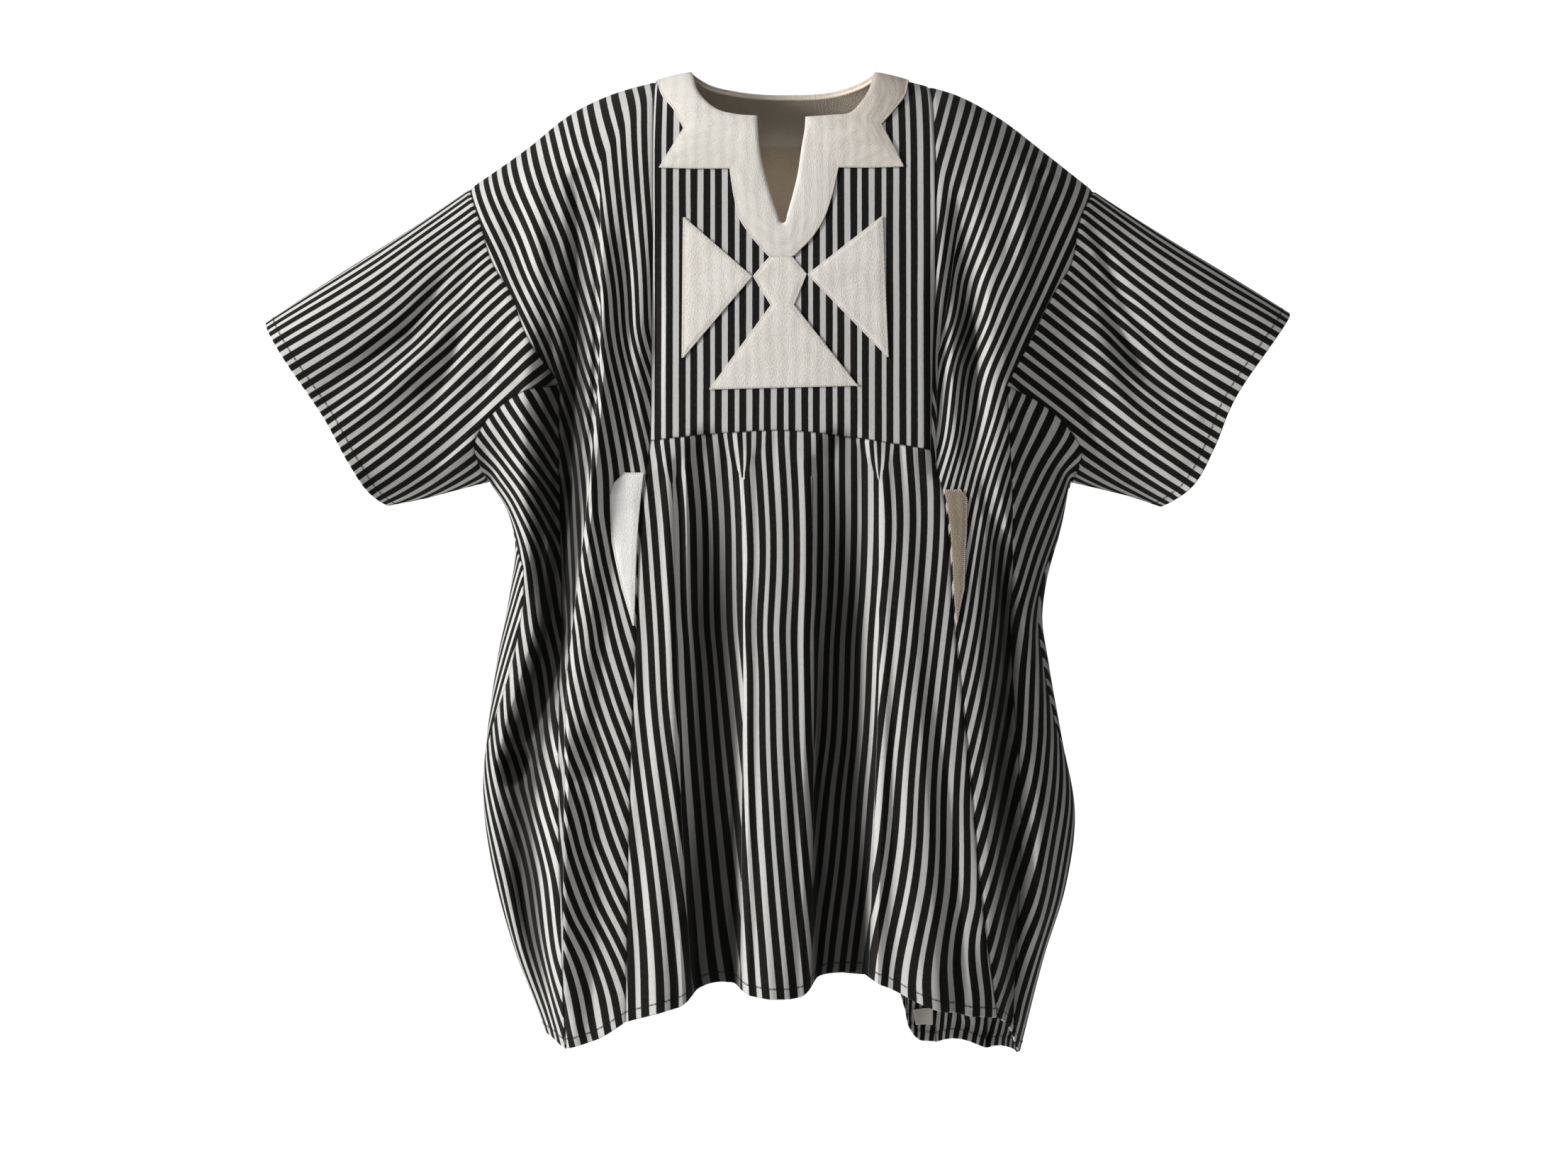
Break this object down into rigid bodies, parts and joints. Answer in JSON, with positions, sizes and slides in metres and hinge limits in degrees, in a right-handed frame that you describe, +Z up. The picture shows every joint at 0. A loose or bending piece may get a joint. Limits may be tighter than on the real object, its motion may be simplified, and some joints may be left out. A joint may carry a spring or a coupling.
{
  "type": "fugu smock",
  "caption": "Wide short-sleeved smock of strip-woven cloth, hollow as worn, with a slit neck, cut-work chest trim, gathered skirt, side gores and pocket welts",
  "frame": {"origin": "middle of the neck opening, between the two shoulder points where the smock is held up", "axes": "+X to the viewer's right across the sleeves, +Y towards the back, +Z up"},
  "size_m": [0.999, 0.2491, 0.9766],
  "materials": {
    "striped_cloth": "hand-woven cotton strips, charcoal and off-white stripes",
    "cream_cloth": "plain brushed cotton",
    "lining_cloth": "plain undyed cotton"
  },
  "bodies": {
    "root": {"yoke_front": "striped_cloth", "skirt_front": "striped_cloth", "side_front_left": "striped_cloth", "side_front_right": "striped_cloth", "gore_front_left": "striped_cloth", "gore_front_right": "striped_cloth", "gore_back_left": "striped_cloth", "gore_back_right": "striped_cloth", "side_back_left": "striped_cloth", "side_back_right": "striped_cloth", "back_centre": "striped_cloth", "sleeve_left": "striped_cloth", "sleeve_right": "striped_cloth", "neck_band": "cream_cloth", "neck_band_back": "cream_cloth", "applique_left": "cream_cloth", "applique_right": "cream_cloth", "applique_centre": "cream_cloth", "applique_base": "cream_cloth", "pocket_welt_left": "cream_cloth", "pocket_welt_right": "cream_cloth", "hem_patch_back": "cream_cloth", "neck_facing_back": "lining_cloth", "yoke_lining_back": "lining_cloth"}
  },
  "joints": []
}
